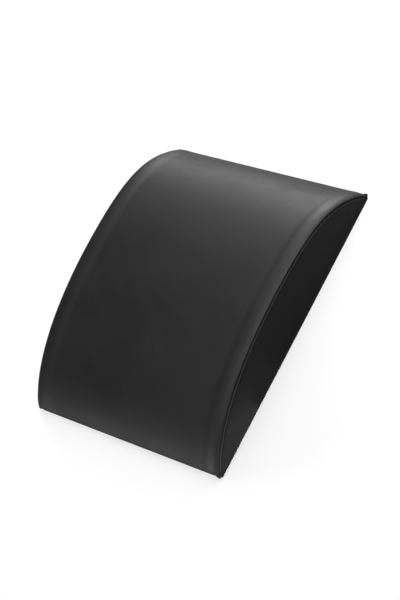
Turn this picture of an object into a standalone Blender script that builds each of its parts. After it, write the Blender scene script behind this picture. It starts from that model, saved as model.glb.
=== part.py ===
"""Ab mat: a sewn vinyl cover over one foam wedge, closed by a coil zip across its base.

The origin is the middle of the base, on the floor. +X runs across the mat, +Y along it towards
the steeper end, and +Z up. Sizes are in metres.
"""

import math

import bmesh
import bpy
from mathutils import Vector

MM = 0.001

# Overall size of the cover
WIDTH = 305 * MM
LENGTH = 362 * MM
HEIGHT = 64 * MM

# Side outline of the crown: the peak, and the slope and pull of the curve at each end
PEAK_OFFSET = 15.4 * MM
NEAR_SLOPE = math.radians(44.8)
NEAR_END_PULL = 50.5 * MM
NEAR_PEAK_PULL = 87.3 * MM
FAR_SLOPE = math.radians(52.9)
FAR_END_PULL = 54.3 * MM
FAR_PEAK_PULL = 94.3 * MM
NEAR_END_STRAIGHT = 0.6 * MM
FAR_END_STRAIGHT = 0.1 * MM
FOAM_ROUNDING = 1.5 * MM

# Cover: sheet, seam allowances and thread
VINYL = 1.2 * MM
CROWN_ALLOWANCE = 16 * MM
BASE_ALLOWANCE = 10 * MM
FOLD_RADIUS = 0.2 * MM
RIDGE_FLANK = 1.2 * MM
MITRE_GAP = 0.5 * MM
THREAD = 0.4 * MM
CLEAR = 0.3 * MM
EDGE_FLAT = 0.1 * MM
STITCH_LEVEL = 0.15 * MM

# Zip: where it lies, its chain and its tapes
ZIP_INSET = 51 * MM
ZIP_SIDE_INSET = 32.5 * MM
SLIT_WIDTH = 9 * MM
SLIT_SPARE = 3 * MM
HEM = 10 * MM
HEM_STITCH_INSET = 3 * MM
TAPE_WIDTH = 13 * MM
TAPE_THICKNESS = 0.6 * MM
TAPE_TAIL = 6 * MM
COIL_WIDTH = 2 * MM
COIL_HEIGHT = 1.6 * MM
STOP_LENGTH = 2.5 * MM
TACK_LENGTH = 9 * MM

# Slider and its pull
SLIDER_LENGTH = 9 * MM
THROAT_START = -0.5 * MM
THROAT_END = 2.0 * MM
PARTING = 1.0 * MM
WING_THICKNESS = 0.7 * MM
FLANGE_THICKNESS = 0.5 * MM
FLANGE_DROP = 1.3 * MM
NOSE_CORNER = 1.3 * MM
RUNNING = 0.2 * MM
BRIDGE_LENGTH = 7 * MM
BRIDGE_WIDTH = 1.6 * MM
BRIDGE_BAR = 0.5 * MM
BRIDGE_LEG = 0.8 * MM
BRIDGE_WINDOW = 1.05 * MM
PULL_LENGTH = 16 * MM
PULL_WIDTH = 4.6 * MM
PULL_THICKNESS = 0.8 * MM
PULL_PIN_RADIUS = 0.42 * MM
EYE_SPARE = 0.8 * MM

# Fineness of the curves, and the least step between two points
SLIVER = 0.02 * MM
CROWN_STEPS = 18
CORNER_STEPS = 4
FOLD_STEPS = 3
EDGE_STEPS = 4
THREAD_SIDES = 6
PIN_SIDES = 12

# A folded edge is two sheets thick. What turns in beside it lies one clearance further in
FOLDED = 2 * VINYL
SEAM_LEVEL = FOLDED + CLEAR
FOLD_OUTER = VINYL + FOLD_RADIUS
FLANGE_FACE = SEAM_LEVEL + VINYL + CLEAR
END_ROUNDING = FOAM_ROUNDING + FLANGE_FACE
HALF_WIDTH = WIDTH / 2
HALF_LENGTH = LENGTH / 2

# Zip levels, counted up from the floor
TAPE_LOW = SEAM_LEVEL
TAPE_HIGH = TAPE_LOW + TAPE_THICKNESS
COIL_LOW = TAPE_HIGH + CLEAR
COIL_HIGH = COIL_LOW + COIL_HEIGHT
LOWER_WING_HIGH = TAPE_LOW - RUNNING
LOWER_WING_LOW = LOWER_WING_HIGH - WING_THICKNESS
UPPER_WING_LOW = COIL_HIGH + RUNNING
UPPER_WING_HIGH = UPPER_WING_LOW + WING_THICKNESS
BRIDGE_LOW = LOWER_WING_LOW - BRIDGE_WINDOW - BRIDGE_BAR
PULL_AXIS_LEVEL = LOWER_WING_LOW - BRIDGE_WINDOW / 2

# Zip places across and along the mat
ZIP_Y = HALF_LENGTH - ZIP_INSET
CHAIN_END = HALF_WIDTH - ZIP_SIDE_INSET
SLIDER_X = CHAIN_END - SLIDER_LENGTH / 2
SLIT_HIGH = CHAIN_END + STOP_LENGTH + SLIT_SPARE
SLIT_LOW = -CHAIN_END - PULL_LENGTH + SLIDER_LENGTH / 2 - SLIT_SPARE
SLIT_HALF = SLIT_WIDTH / 2
CHANNEL_HALF = CLEAR / 2 + COIL_WIDTH + PARTING + CLEAR + FLANGE_THICKNESS + CLEAR


def remove_everything():
    for thing in list(bpy.data.objects):
        bpy.data.objects.remove(thing)


def material(name, colour, roughness, metallic=0.0):
    made = bpy.data.materials.new(name)
    made.use_nodes = True
    shader = made.node_tree.nodes["Principled BSDF"]
    shader.inputs["Base Color"].default_value = (*colour, 1.0)
    shader.inputs["Roughness"].default_value = roughness
    shader.inputs["Metallic"].default_value = metallic
    return made


def finish(name, bm, surface):
    """Turns a closed bmesh into a named object with its faces pointing out."""
    bmesh.ops.recalc_face_normals(bm, faces=bm.faces)
    mesh = bpy.data.meshes.new(name)
    bm.to_mesh(mesh)
    bm.free()
    mesh.shade_smooth()
    mesh.set_sharp_from_angle(angle=math.radians(35))
    mesh.materials.append(surface)
    made = bpy.data.objects.new(name, mesh)
    bpy.context.collection.objects.link(made)
    return made


def loft(name, rings, surface):
    """Skins a row of closed rings, and caps the first and the last."""
    bm = bmesh.new()
    rows = [[bm.verts.new(point) for point in ring] for ring in rings]
    for row, following in zip(rows, rows[1:]):
        count = len(row)
        for i in range(count):
            j = (i + 1) % count
            bm.faces.new((row[i], row[j], following[j], following[i]))
    bm.faces.new(rows[0])
    bm.faces.new(rows[-1])
    return finish(name, bm, surface)


def slab(name, outline, low, high, surface):
    """A flat plate with the outline given in X and Y."""
    rings = [[(x, y, z) for x, y in outline] for z in (low, high)]
    return loft(name, rings, surface)


def block(name, low, high, surface):
    (x0, y0, z0), (x1, y1, z1) = low, high
    return slab(name, [(x0, y0), (x1, y0), (x1, y1), (x0, y1)], z0, z1, surface)


def combine(target, tool, operation):
    """Joins or cuts the target with a tool, which stays as a hidden guide."""
    change = target.modifiers.new(tool.name, "BOOLEAN")
    change.operation = operation
    change.solver = "EXACT"
    change.object = tool
    tool.hide_render = True
    tool.display_type = "WIRE"
    tool.parent = target.parent


def arc(centre, radius, start, stop, steps):
    """Points on an arc, with its angles in degrees."""
    found = []
    for i in range(steps + 1):
        angle = math.radians(start + (stop - start) * i / steps)
        found.append(Vector(centre) + radius * Vector((math.cos(angle), math.sin(angle))))
    return found


# The side outline is a row of stations. Each is a point in the Y-Z plane and its outward normal


def end_centre(side):
    """Centre of the rounding at the near (-1) or far (+1) end."""
    straight = FAR_END_STRAIGHT if side > 0 else NEAR_END_STRAIGHT
    return Vector((side * (HALF_LENGTH - END_ROUNDING), SEAM_LEVEL + FOLD_OUTER + straight))


def end_slope(side):
    return FAR_SLOPE if side > 0 else NEAR_SLOPE


def crown_station(u):
    """A station on the crown, with u from -1 at the near end through 0 at the peak to 1."""
    side = 1 if u > 0 else -1
    slope = end_slope(side)
    outward = Vector((side * math.sin(slope), math.cos(slope)))
    climb = Vector((-side * math.cos(slope), math.sin(slope)))
    peak = Vector((PEAK_OFFSET, HEIGHT))
    end = end_centre(side) + END_ROUNDING * outward
    end_pull = FAR_END_PULL if side > 0 else NEAR_END_PULL
    peak_pull = FAR_PEAK_PULL if side > 0 else NEAR_PEAK_PULL
    a, b, c, d = end, end + end_pull * climb, peak + Vector((side * peak_pull, 0)), peak
    t = 1 - abs(u)
    s = 1 - t
    point = s**3 * a + 3 * s * s * t * b + 3 * s * t * t * c + t**3 * d
    along = s * s * (b - a) + 2 * s * t * (c - b) + t * t * (d - c)
    along = -side * along.normalized()
    return point, Vector((-along.y, along.x))


def rounding_stations(side):
    """Stations round the blunt end, from the near wall up, or from the crown down."""
    slope = math.degrees(end_slope(side))
    start, stop = (90 - slope, 0) if side > 0 else (180, 90 + slope)
    centre = end_centre(side)
    points = arc(centre, END_ROUNDING, start, stop, CORNER_STEPS)
    return [(point, (point - centre).normalized()) for point in points]


def crown_between(first, last):
    """Stations from one place on the crown to another, on the steps that all pieces share."""
    shared = [i / CROWN_STEPS for i in range(-CROWN_STEPS + 1, CROWN_STEPS)]
    apart = 1 / CROWN_STEPS / CROWN_STEPS
    places = [first] + [u for u in shared if first + apart < u < last - apart] + [last]
    return [crown_station(u) for u in places]


def sunk(station, depth):
    point, normal = station
    return point - depth * normal


def tip(side):
    """How far towards an end both folds of a side panel still find room."""
    depth = SEAM_LEVEL + FOLD_OUTER
    low, high = 0.5, 1.0
    for _ in range(30):
        middle = (low + high) / 2
        roomy = sunk(crown_station(side * middle), depth).y > depth + CLEAR
        low, high = (middle, high) if roomy else (low, middle)
    return side * low


def outline_at(depth, foot):
    """The whole side outline, sunk by a depth, with its two ends run down to a level."""
    stations = rounding_stations(-1)[:-1] + crown_between(-1, 1) + rounding_stations(1)[1:]
    points = [sunk(station, depth) for station in stations]
    return points, [Vector((points[0].x, foot)), Vector((points[-1].x, foot))]


def crease_seat(inner, inner_radius, outer, outer_radius):
    """Where a thread lies against two rounds: how far in from the face, and how deep."""
    a, b = Vector(inner), Vector(outer)
    reach_a = inner_radius + CLEAR + THREAD / 2
    reach_b = outer_radius + CLEAR + THREAD / 2
    apart = (b - a).length
    along = (reach_a**2 - reach_b**2 + apart**2) / (2 * apart)
    across = math.sqrt(reach_a**2 - along**2)
    ahead = (b - a) / apart
    return a + along * ahead + across * Vector((-ahead.y, ahead.x))


def tube(name, centres, sideways, surface):
    """A thread through a row of centres, each with the direction that is up there."""
    rings = []
    for centre, up in centres:
        ring = []
        for i in range(THREAD_SIDES):
            angle = 2 * math.pi * i / THREAD_SIDES
            around = math.cos(angle) * Vector(sideways) + math.sin(angle) * Vector(up)
            ring.append(Vector(centre) + THREAD / 2 * around)
        rings.append(ring)
    return loft(name, rings, surface)


# Foam


def make_foam(surface):
    """The wedge, its seam rebates and the channel over the zip."""
    half = HALF_WIDTH - VINYL - CLEAR
    points, feet = outline_at(SEAM_LEVEL, FLANGE_FACE)
    above = [p for p in points if p.y > FLANGE_FACE + SLIVER]
    outline = [feet[0]] + above + [feet[1]]
    foam = loft("foam_core", [[(x, *p) for p in outline] for x in (-half, half)], surface)

    tray_x = HALF_WIDTH - BASE_ALLOWANCE - CLEAR
    tray_y = HALF_LENGTH - VINYL - BASE_ALLOWANCE - CLEAR
    tray_low = VINYL + CLEAR
    tray_high = FLANGE_FACE + FOAM_ROUNDING
    tray = block("foam_tray", (-tray_x, -tray_y, tray_low), (tray_x, tray_y, tray_high), surface)
    combine(foam, tray, "UNION")

    inside, inside_feet = outline_at(FLANGE_FACE, SEAM_LEVEL)
    outside, outside_feet = outline_at(-SEAM_LEVEL, SEAM_LEVEL)
    ring = [inside_feet[0]] + inside + [inside_feet[1]]
    ring += [outside_feet[1]] + outside[::-1] + [outside_feet[0]]
    for side, label in ((1, "right"), (-1, "left")):
        ends = [side * x for x in (HALF_WIDTH - CROWN_ALLOWANCE - CLEAR, HALF_WIDTH + CLEAR)]
        rebate = loft(f"{label}_rebate", [[(x, *p) for p in ring] for x in ends], surface)
        combine(foam, rebate, "DIFFERENCE")

    reach = SLIT_HALF + HEM + CLEAR
    low = (-WIDTH, ZIP_Y - reach, 0)
    high = (WIDTH, ZIP_Y + reach, TAPE_HIGH + CLEAR)
    combine(foam, block("hem_rebate", low, high, surface), "DIFFERENCE")
    low = (SLIT_LOW, ZIP_Y - CHANNEL_HALF, 0)
    high = (SLIT_HIGH, ZIP_Y + CHANNEL_HALF, UPPER_WING_HIGH + CLEAR)
    combine(foam, block("zip_channel", low, high, surface), "DIFFERENCE")


# Cover panels


def top_section(station, half, ridge):
    """A ring across the top panel, as wide and with its edges as proud as given."""
    shape = []
    edge = (VINYL + ridge) / 2
    rise = (ridge - VINYL) / 2
    shape.append((half - CROWN_ALLOWANCE - RIDGE_FLANK, 0))
    shape.append((half - CROWN_ALLOWANCE, ridge))
    shape += arc((half - edge, rise), edge, 90, -90, EDGE_STEPS)
    ring = []
    for across, out in shape:
        ring.append((across, *sunk(station, VINYL - out)))
    for across, out in reversed(shape):
        ring.append((-across, *sunk(station, VINYL - out)))
    return ring


def end_fold_sections(side):
    """Rings round the turned-in hem at one end, from its mitred free edge to the end wall."""
    centre = Vector((side * (HALF_LENGTH - VINYL - FOLD_OUTER), SEAM_LEVEL + FOLD_OUTER))
    down = Vector((0, -1))
    free_edge = centre + Vector((-side * (BASE_ALLOWANCE - FOLD_OUTER), 0)) + FOLD_OUTER * down
    rings = []
    for point, inset in ((free_edge, BASE_ALLOWANCE), (centre + FOLD_OUTER * down, FOLD_OUTER)):
        station = (point + VINYL * down, down)
        rings.append(top_section(station, HALF_WIDTH - inset - MITRE_GAP, 0))
    stop = 360 if side > 0 else 180
    for i, point in enumerate(arc(centre, FOLD_OUTER + VINYL, 270, stop, FOLD_STEPS)):
        if i:
            part = i / FOLD_STEPS
            half = HALF_WIDTH - (1 - part) * (FOLD_OUTER + MITRE_GAP)
            station = (point, (point - centre).normalized())
            rings.append(top_section(station, half, part * VINYL))
    return rings if side < 0 else rings[::-1]


def make_top_panel(surface):
    stations = rounding_stations(-1)[:-1] + crown_between(-1, 1) + rounding_stations(1)[1:]
    rings = end_fold_sections(-1)
    rings += [top_section(station, HALF_WIDTH, VINYL) for station in stations]
    rings += end_fold_sections(1)
    loft("top_panel", rings, surface)


def side_section(station, side):
    """A ring round a side panel: a wall with one flange turned in above and one below."""
    here = sunk(station, SEAM_LEVEL).x
    from_end = HALF_LENGTH - VINYL - abs(here)
    reach = min(BASE_ALLOWANCE, from_end - MITRE_GAP)
    fold_x = HALF_WIDTH - FOLD_OUTER

    def upper(across, depth):
        return (side * across, *sunk(station, depth))

    def lower(across, level):
        return (side * across, here, level)

    depth = SEAM_LEVEL + FOLD_OUTER
    ring = [upper(HALF_WIDTH - CROWN_ALLOWANCE, SEAM_LEVEL)]
    ring += [upper(p.x, depth - p.y) for p in arc((fold_x, 0), FOLD_OUTER, 90, 0, FOLD_STEPS)]
    ring += [lower(p.x, depth + p.y) for p in arc((fold_x, 0), FOLD_OUTER, 0, -90, FOLD_STEPS)]
    ring += [lower(HALF_WIDTH - reach, SEAM_LEVEL), lower(HALF_WIDTH - reach, SEAM_LEVEL + VINYL)]
    ring += [lower(p.x, depth + p.y) for p in arc((fold_x, 0), FOLD_RADIUS, -90, 0, 2)]
    ring += [upper(p.x, depth - p.y) for p in arc((fold_x, 0), FOLD_RADIUS, 0, 90, 2)]
    ring.append(upper(HALF_WIDTH - CROWN_ALLOWANCE, SEAM_LEVEL + VINYL))
    return ring


def make_side_panels(surface):
    for side, label in ((1, "right"), (-1, "left")):
        stations = crown_between(tip(-1), tip(1))
        rings = [side_section(station, side) for station in stations]
        loft(f"{label}_side_panel", rings, surface)


def make_base_half(name, outer_y, side, surface):
    """One half of the base, from an end to the zip, with its edges folded to double."""
    slit_y = ZIP_Y - side * SLIT_HALF
    meet_y = ZIP_Y - side * CLEAR / 2
    outline = [(-HALF_WIDTH, outer_y), (HALF_WIDTH, outer_y), (HALF_WIDTH, meet_y)]
    outline += [(SLIT_HIGH, meet_y), (SLIT_HIGH, slit_y), (SLIT_LOW, slit_y)]
    outline += [(SLIT_LOW, meet_y), (-HALF_WIDTH, meet_y)]
    panel = slab(name, outline, 0, FOLDED, surface)
    bm = bmesh.new()
    bm.from_mesh(panel.data)
    rim = [e for e in bm.edges if is_outer_rim(e, outer_y)]
    width = VINYL - EDGE_FLAT
    bmesh.ops.bevel(
        bm, geom=rim, offset=width, segments=FOLD_STEPS, profile=0.5, affect="EDGES"
    )
    bm.to_mesh(panel.data)
    bm.free()

    hem_y = slit_y - side * HEM
    inner_y = outer_y + side * BASE_ALLOWANCE
    half = HALF_WIDTH - BASE_ALLOWANCE
    low = (-half, min(hem_y, inner_y), VINYL)
    high = (half, max(hem_y, inner_y), FOLDED + CLEAR)
    combine(panel, block(f"{name}_hollow", low, high, surface), "DIFFERENCE")

    groove_y = slit_y - side * HEM_STITCH_INSET
    reach = THREAD / 2 + CLEAR
    top = STITCH_LEVEL + THREAD + CLEAR
    low = (SLIT_LOW - CLEAR, groove_y - reach, -CLEAR)
    high = (SLIT_HIGH + CLEAR, groove_y + reach, top)
    combine(panel, block(f"{name}_stitch_groove", low, high, surface), "DIFFERENCE")
    for x, label in tack_places():
        low = (x - reach, ZIP_Y - TACK_LENGTH / 2 - CLEAR, -CLEAR)
        high = (x + reach, ZIP_Y + TACK_LENGTH / 2 + CLEAR, top)
        combine(panel, block(f"{name}_{label}_groove", low, high, surface), "DIFFERENCE")


def is_outer_rim(edge, outer_y):
    """Whether an edge runs along a face of the mat's outside, and not up a corner."""
    first, second = (v.co for v in edge.verts)
    if abs(first.z - second.z) > CLEAR:
        return False
    on_end = abs(first.y - outer_y) < CLEAR and abs(second.y - outer_y) < CLEAR
    return on_end or abs(first.x + second.x) > 2 * HALF_WIDTH - CLEAR


def make_base(surface):
    make_base_half("base_panel", -HALF_LENGTH, 1, surface)
    make_base_half("base_end_strip", HALF_LENGTH, -1, surface)


# Threads


def make_seam_threads(surface):
    """The threads that lie in the creases of the turned seams."""
    folded_edge = (VINYL, VINYL)
    turned_edge = (FOLD_OUTER, SEAM_LEVEL + FOLD_OUTER)
    seat = crease_seat(folded_edge, VINYL, turned_edge, FOLD_OUTER)
    stations = crown_between(tip(-1), tip(1))
    for side, label in ((1, "right"), (-1, "left")):
        x = side * (HALF_WIDTH - seat.x)
        run = [((x, *sunk(s, seat.y)), (0, *s[1])) for s in stations]
        tube(f"{label}_top_seam_thread", run, (1, 0, 0), surface)
        ends = [sunk(s, SEAM_LEVEL).x for s in (stations[0], stations[-1])]
        tube(f"{label}_base_seam_thread", straight(x, ends, seat.y), (1, 0, 0), surface)

    turned_edge = (VINYL + FOLD_OUTER, SEAM_LEVEL + FOLD_OUTER)
    seat = crease_seat(folded_edge, VINYL, turned_edge, FOLD_OUTER)
    reach = HALF_WIDTH - CROWN_ALLOWANCE - RIDGE_FLANK - CLEAR
    for side, label in ((1, "far"), (-1, "near")):
        y = side * (HALF_LENGTH - seat.x)
        run = [((x, y, seat.y), (0, 0, 1)) for x in (-reach, reach)]
        tube(f"{label}_end_seam_thread", run, (0, 1, 0), surface)


def straight(x, ends, level):
    return [((x, y, level), (0, 0, 1)) for y in ends]


def tack_places():
    """Where the short rows of stitches across the two ends of the slit lie."""
    off = THREAD + 3 * CLEAR
    return (SLIT_LOW - off, "closed_end_tack"), (SLIT_HIGH + off, "open_end_tack")


def make_zip_threads(surface):
    level = STITCH_LEVEL + THREAD / 2
    for side, label in ((1, "far"), (-1, "near")):
        y = ZIP_Y + side * (SLIT_HALF + HEM_STITCH_INSET)
        run = [((x, y, level), (0, 0, 1)) for x in (SLIT_LOW, SLIT_HIGH)]
        tube(f"{label}_hem_stitching", run, (0, 1, 0), surface)
    for x, label in tack_places():
        ends = (ZIP_Y - TACK_LENGTH / 2, ZIP_Y + TACK_LENGTH / 2)
        tube(label, straight(x, ends, level), (1, 0, 0), surface)


# Zip


def parting(x):
    """How far each half of the chain stands aside for the slider, at X along the slider."""
    share = (x - THROAT_START) / (THROAT_END - THROAT_START)
    return PARTING * min(max(share, 0.0), 1.0)


def zip_strip(name, side, width, start, end, low, high, surface):
    """A tape or a half of the chain, parted where the slider stands."""
    inner = []
    for x in (start, SLIDER_X + THROAT_START, SLIDER_X + THROAT_END, end):
        inner.append((x, CLEAR / 2 + parting(x - SLIDER_X)))
    if name.endswith("coil"):
        outer = [(x, y + width) for x, y in inner]
    else:
        outer = [(start, width), (end, width)]
    outline = [(x, ZIP_Y + side * y) for x, y in inner + outer[::-1]]
    return slab(name, outline, low, high, surface)


def make_zip_chain(fabric, nylon, metal):
    for side, label in ((1, "far"), (-1, "near")):
        start, end = SLIT_LOW - TAPE_TAIL, SLIT_HIGH + TAPE_TAIL
        zip_strip(
            f"{label}_zip_tape", side, TAPE_WIDTH, start, end, TAPE_LOW, TAPE_HIGH, fabric
        )
        zip_strip(
            f"{label}_zip_coil", side, COIL_WIDTH, -CHAIN_END, CHAIN_END, COIL_LOW, COIL_HIGH, nylon
        )
        inner = CLEAR / 2 + PARTING
        ends = sorted(ZIP_Y + side * y for y in (inner, inner + COIL_WIDTH))
        low = (CHAIN_END + CLEAR, ends[0], COIL_LOW)
        high = (CHAIN_END + CLEAR + STOP_LENGTH, ends[1], COIL_HIGH)
        block(f"{label}_top_stop", low, high, metal)
    half = CLEAR / 2 + COIL_WIDTH
    low = (-CHAIN_END - CLEAR - STOP_LENGTH, ZIP_Y - half, COIL_LOW)
    high = (-CHAIN_END - CLEAR, ZIP_Y + half, COIL_HIGH)
    block("bottom_stop", low, high, metal)


def wing_half(x, inset):
    """Half the width of a slider wing at X, less an inset."""
    return CLEAR / 2 + COIL_WIDTH + parting(x) + CLEAR + FLANGE_THICKNESS - inset


def wing_outline():
    nose = SLIDER_LENGTH / 2
    tail = -nose
    shoulder = nose - NOSE_CORNER
    side = [(x, wing_half(x, 0)) for x in (tail, THROAT_START, THROAT_END, shoulder)]
    side.append((nose, wing_half(nose, PARTING)))
    return side + [(x, -y) for x, y in side[::-1]]


def make_slider(place, metal):
    """Two wings round the chain, the diamond that parts it, and the bridge for the pull."""
    nose = SLIDER_LENGTH / 2
    shoulder = nose - NOSE_CORNER
    overlap = WING_THICKNESS / 2
    slider = slab("zip_slider", wing_outline(), LOWER_WING_LOW, LOWER_WING_HIGH, metal)
    slider.parent = place

    def add(tool):
        combine(slider, tool, "UNION")

    add(slab("upper_wing", wing_outline(), UPPER_WING_LOW, UPPER_WING_HIGH, metal))
    half = CLEAR / 2 + PARTING - CLEAR
    point = THROAT_START + (THROAT_END - THROAT_START) * (PARTING - half) / PARTING
    diamond = [(point, 0), (THROAT_END, -half), (shoulder, -half)]
    diamond += [(nose - overlap, 0), (shoulder, half), (THROAT_END, half)]
    low, high = LOWER_WING_HIGH - overlap, UPPER_WING_LOW + overlap
    add(slab("diamond", diamond, low, high, metal))
    for side, label in ((1, "far"), (-1, "near")):
        stops = (-nose + overlap, THROAT_START, THROAT_END, shoulder - overlap)
        lip = [(x, side * wing_half(x, SLIVER)) for x in stops]
        lip += [(x, side * wing_half(x, FLANGE_THICKNESS)) for x in stops[::-1]]
        add(slab(f"{label}_flange", lip, UPPER_WING_LOW - FLANGE_DROP, high, metal))

    end = BRIDGE_LENGTH / 2
    inner = end - BRIDGE_LEG
    window_low = BRIDGE_LOW + BRIDGE_BAR
    top = LOWER_WING_LOW + overlap
    arch = [(-end, top), (-end, BRIDGE_LOW), (end, BRIDGE_LOW), (end, top)]
    arch += [(inner, top), (inner, window_low), (-inner, window_low), (-inner, top)]
    sides = (-BRIDGE_WIDTH / 2, BRIDGE_WIDTH / 2)
    add(loft("bridge", [[(x, y, z) for x, z in arch] for y in sides], metal))


def make_pull(place, metal):
    """A flat tab with an eye round the bridge and a pin through its window."""
    half = PULL_WIDTH / 2
    thick = PULL_THICKNESS / 2
    rounded = arc((-PULL_LENGTH + half, 0), half, 90, 270, 2 * EDGE_STEPS)
    outline = [(0, half)] + [tuple(p) for p in rounded] + [(0, -half)]
    pull = slab("zip_pull", outline, -thick, thick, metal)
    pull.parent = place
    eye_half = BRIDGE_WIDTH / 2 + CLEAR
    eye_end = -BRIDGE_LENGTH / 2 - EYE_SPARE
    low = (eye_end, -eye_half, -PULL_THICKNESS)
    high = (PULL_THICKNESS, eye_half, PULL_THICKNESS)
    combine(pull, block("eye", low, high, metal), "DIFFERENCE")
    pin = []
    for y in (-half + CLEAR / 2, half - CLEAR / 2):
        around = arc((0, 0), PULL_PIN_RADIUS, 0, 360 - 360 / PIN_SIDES, PIN_SIDES - 1)
        pin.append([(p.x, y, p.y) for p in around])
    combine(pull, loft("pin", pin, metal), "UNION")


def joint_place(name, location):
    """An empty on a joint, which carries the piece that moves there."""
    place = bpy.data.objects.new(name, None)
    place.location = location
    bpy.context.collection.objects.link(place)
    return place


def main():
    remove_everything()
    vinyl = material("black_vinyl", (0.022, 0.022, 0.023), 0.42)
    foam = material("foam", (0.09, 0.09, 0.095), 0.95)
    fabric = material("zip_tape", (0.018, 0.018, 0.019), 0.9)
    nylon = material("zip_coil", (0.02, 0.02, 0.02), 0.5)
    metal = material("black_metal", (0.03, 0.03, 0.032), 0.35, 0.8)
    thread = material("thread", (0.02, 0.02, 0.021), 0.7)

    make_foam(foam)
    make_top_panel(vinyl)
    make_side_panels(vinyl)
    make_base(vinyl)
    make_seam_threads(thread)
    make_zip_threads(thread)
    make_zip_chain(fabric, nylon, metal)
    make_slider(joint_place("slider_joint", (SLIDER_X, ZIP_Y, 0)), metal)
    make_pull(joint_place("pull_joint", (SLIDER_X, ZIP_Y, PULL_AXIS_LEVEL)), metal)
    bpy.context.view_layer.update()
    travel = 2 * CHAIN_END - SLIDER_LENGTH
    print(f"slider at {SLIDER_X:.5f}, {ZIP_Y:.5f}; travel {travel:.4f} m towards -X")
    print(f"pull axis level {PULL_AXIS_LEVEL:.6f}; channel top {UPPER_WING_HIGH + CLEAR:.5f}")


main()
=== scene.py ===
# %% [markdown]
# # A sewn ab mat in black vinyl
#
# The mat is one wedge of foam in a sewn cover. A wide panel runs over the crown, a crescent closes
# each side, and the base has a coil zip across it. This script loads the measured model as a fixed
# frame and then dresses it, piece by piece, in the way a maker would sew it.

# %% Load the frame
import math

import bmesh
import bpy
from mathutils import Matrix, Vector
from mathutils.geometry import interpolate_bezier


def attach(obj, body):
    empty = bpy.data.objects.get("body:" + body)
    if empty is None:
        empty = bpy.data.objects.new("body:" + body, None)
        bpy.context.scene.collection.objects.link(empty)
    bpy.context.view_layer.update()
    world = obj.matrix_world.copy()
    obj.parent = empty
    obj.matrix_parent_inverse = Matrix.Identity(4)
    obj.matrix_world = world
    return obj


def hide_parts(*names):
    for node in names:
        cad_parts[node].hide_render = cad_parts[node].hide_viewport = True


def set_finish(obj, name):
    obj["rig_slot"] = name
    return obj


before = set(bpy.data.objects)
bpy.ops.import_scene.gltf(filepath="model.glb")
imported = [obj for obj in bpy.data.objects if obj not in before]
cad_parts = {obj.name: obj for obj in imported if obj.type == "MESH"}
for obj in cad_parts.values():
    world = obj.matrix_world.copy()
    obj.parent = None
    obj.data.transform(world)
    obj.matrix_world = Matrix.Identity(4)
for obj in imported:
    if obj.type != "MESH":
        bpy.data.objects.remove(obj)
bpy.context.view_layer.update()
MM = 0.001

# %% [markdown]
# ## Camera
#
# The photograph looks down on the right side of the mat from about 45 degrees, through a long lens,
# and the picture is rolled. A camera is a place and three axes: right, up and back.

# %% Camera
CAMERA_PLACE = (1.6960, -0.4936, 1.7766)
CAMERA_RIGHT = (0.7024, 0.4601, -0.5431)
CAMERA_UP = (-0.2174, 0.8652, 0.4518)
CAMERA_BACK = (0.6778, -0.1992, 0.7078)
LENS = 129.95

bpy.ops.object.camera_add(location=CAMERA_PLACE)
camera = bpy.context.object
axes = Matrix((CAMERA_RIGHT, CAMERA_UP, CAMERA_BACK)).transposed()
camera.rotation_euler = axes.to_euler()
camera.data.lens = LENS
camera.data.sensor_width = 36
camera.data.clip_start = 0.01
bpy.context.scene.camera = camera
bpy.context.scene.view_settings.view_transform = "Standard"
print("camera turned", [round(math.degrees(a), 1) for a in camera.rotation_euler])

# %% [markdown]
# ## Working by hand in code
#
# Blender's operators act on what is selected, so each step starts by clearing the selection. Then a
# face or a point is picked by where it lies or which way it faces, as an eye and a mouse would.


# %% Selecting and finishing
def clear_selection():
    if bpy.context.object and bpy.context.object.mode != "OBJECT":
        bpy.ops.object.mode_set(mode="OBJECT")
    bpy.ops.object.select_all(action="DESELECT")


def focus(piece):
    clear_selection()
    piece.select_set(True)
    bpy.context.view_layer.objects.active = piece


def edit_where(piece, test, kind="VERT"):
    """Opens a piece for editing with only the parts selected that pass a test on their place."""
    focus(piece)
    bpy.ops.object.mode_set(mode="EDIT")
    bpy.ops.mesh.select_mode(type=kind)
    bpy.ops.mesh.select_all(action="DESELECT")
    shape = bmesh.from_edit_mesh(piece.data)
    parts = {"VERT": shape.verts, "EDGE": shape.edges, "FACE": shape.faces}[kind]
    found = 0
    for part in parts:
        if test(part):
            part.select_set(True)
            found += 1
    shape.select_flush_mode()
    bmesh.update_edit_mesh(piece.data)
    return found


def done():
    bpy.ops.object.mode_set(mode="OBJECT")


def apply_all(piece):
    focus(piece)
    for step in list(piece.modifiers):
        bpy.ops.object.modifier_apply(modifier=step.name)


def outward(piece):
    """Merges doubled points, then turns every face out."""
    edit_where(piece, lambda v: True)
    bpy.ops.mesh.remove_doubles(threshold=0.01 * MM)
    bpy.ops.mesh.normals_make_consistent(inside=False)
    done()


def smooth(piece, angle=40):
    focus(piece)
    bpy.ops.object.shade_smooth_by_angle(angle=math.radians(angle))


def triangles(piece):
    return sum(len(face.vertices) - 2 for face in piece.data.polygons)


# %% [markdown]
# ## The side outline
#
# The mat has one outline from the side: a rounded end, a long curve up to a peak a little past the
# middle, a shorter one down, and the other rounded end. Two Bezier curves hold the crown. All the
# panels and seams take their lines from it, each sunk by its own depth.

# %% Outline
WIDTH, LENGTH = 305 * MM, 362 * MM
PEAK = Vector((15.4, 64)) * MM
ROUNDING = 5.7 * MM
ENDS = {
    -1: {"slope": 44.8, "end_pull": 50.5, "peak_pull": 87.3, "centre": (-175.3, 4.7)},
    1: {"slope": 52.9, "end_pull": 54.3, "peak_pull": 94.3, "centre": (175.3, 4.2)},
}
CROWN_POINTS = 42
ROUNDING_STEPS = 5


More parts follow.
